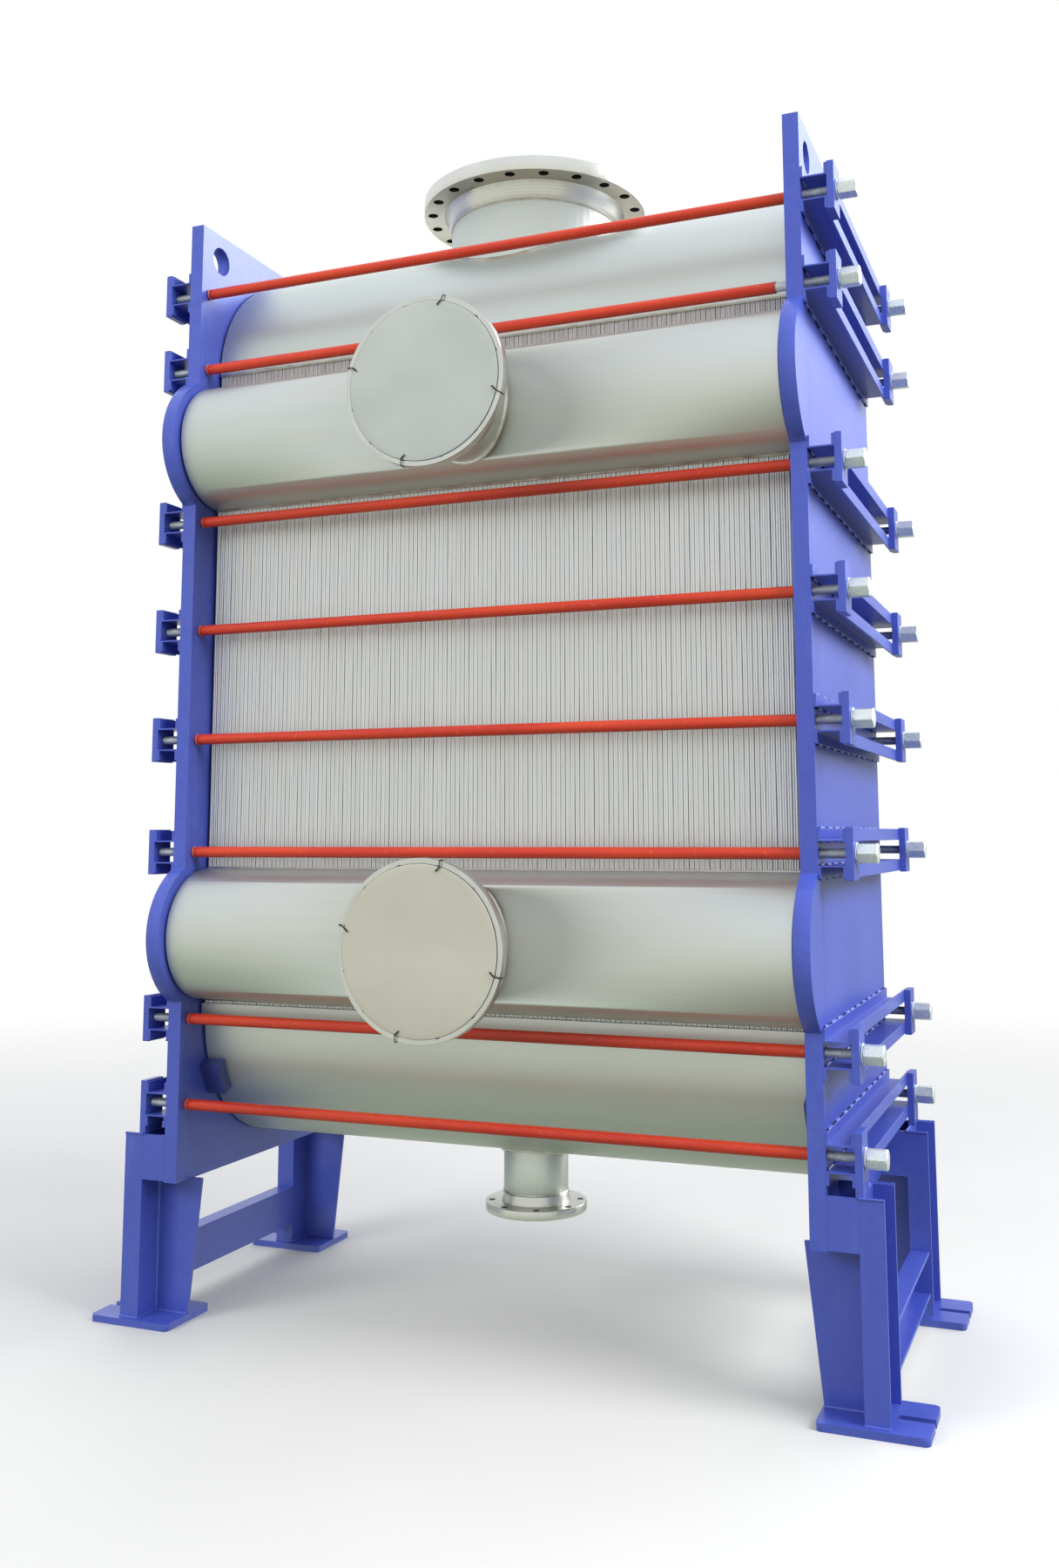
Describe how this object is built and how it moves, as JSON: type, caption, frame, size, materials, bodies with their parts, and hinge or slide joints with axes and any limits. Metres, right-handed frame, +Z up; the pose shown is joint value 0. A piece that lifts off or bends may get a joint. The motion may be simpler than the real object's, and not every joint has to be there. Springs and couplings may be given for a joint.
{
  "type": "plate heat exchanger",
  "caption": "Welded plate heat exchanger: plate pack with half-cylinder headers clamped between blue end plates by tie rods, flanged ports, on legs.",
  "frame": {"origin": "on the floor under the middle of the bounding box", "axes": "+Z up, +X across the plate stack to the right-hand end plate, -Y towards the blanked front ports"},
  "size_m": [2.722, 1.506, 3.91],
  "materials": {
    "enamel_blue": "gloss periwinkle blue enamel",
    "sleeve_red": "glossy orange-red sleeve",
    "stainless": "satin rolled stainless sheet",
    "plate_steel": "thin stainless plate edges, welded",
    "bright_steel": "machined stainless",
    "blank_grey": "pale grey board",
    "zinc": "zinc plated",
    "dark_wire": "dark annealed wire"
  },
  "bodies": {
    "root": {"left_end_plate": "enamel_blue", "right_end_plate": "enamel_blue", "left_lining_plate": "stainless", "right_lining_plate": "stainless", "plate_cassettes": "plate_steel", "bottom_edge_bars": "stainless", "top_header_shell": "stainless", "bottom_header_shell": "stainless", "upper_front_header_shell": "stainless", "lower_front_header_shell": "stainless", "top_port_pipe": "stainless", "top_port_flange": "bright_steel", "bottom_port_pipe": "stainless", "bottom_port_flange": "bright_steel", "upper_front_port_pipe": "stainless", "upper_front_port_flange": "bright_steel", "upper_front_blank": "blank_grey", "upper_front_blank_ties": "dark_wire", "lower_front_port_pipe": "stainless", "lower_front_port_flange": "bright_steel", "lower_front_blank": "blank_grey", "lower_front_blank_ties": "dark_wire", "front_tie_rods": "zinc", "rear_tie_rods": "zinc", "front_rod_sleeves": "sleeve_red", "rear_rod_sleeves": "sleeve_red", "left_upper_channels": "enamel_blue", "left_lower_channels": "enamel_blue", "right_upper_channels": "enamel_blue", "right_lower_channels": "enamel_blue", "left_bearing_plates": "enamel_blue", "right_bearing_plates": "enamel_blue", "right_washers": "zinc", "right_nuts": "zinc", "left_header_saddles": "enamel_blue", "right_header_saddles": "enamel_blue", "front_left_leg_column": "enamel_blue", "rear_left_leg_column": "enamel_blue", "front_right_leg_column": "enamel_blue", "rear_right_leg_column": "enamel_blue", "front_left_leg_head": "enamel_blue", "rear_left_leg_head": "enamel_blue", "front_right_leg_head": "enamel_blue", "rear_right_leg_head": "enamel_blue", "front_left_leg_taper": "enamel_blue", "rear_left_leg_taper": "enamel_blue", "front_right_leg_taper": "enamel_blue", "rear_right_leg_taper": "enamel_blue", "front_left_base_plate": "enamel_blue", "rear_left_base_plate": "enamel_blue", "front_right_base_plate": "enamel_blue", "rear_right_base_plate": "enamel_blue", "left_cross_bar": "enamel_blue", "right_cross_bar": "enamel_blue"}
  },
  "joints": []
}
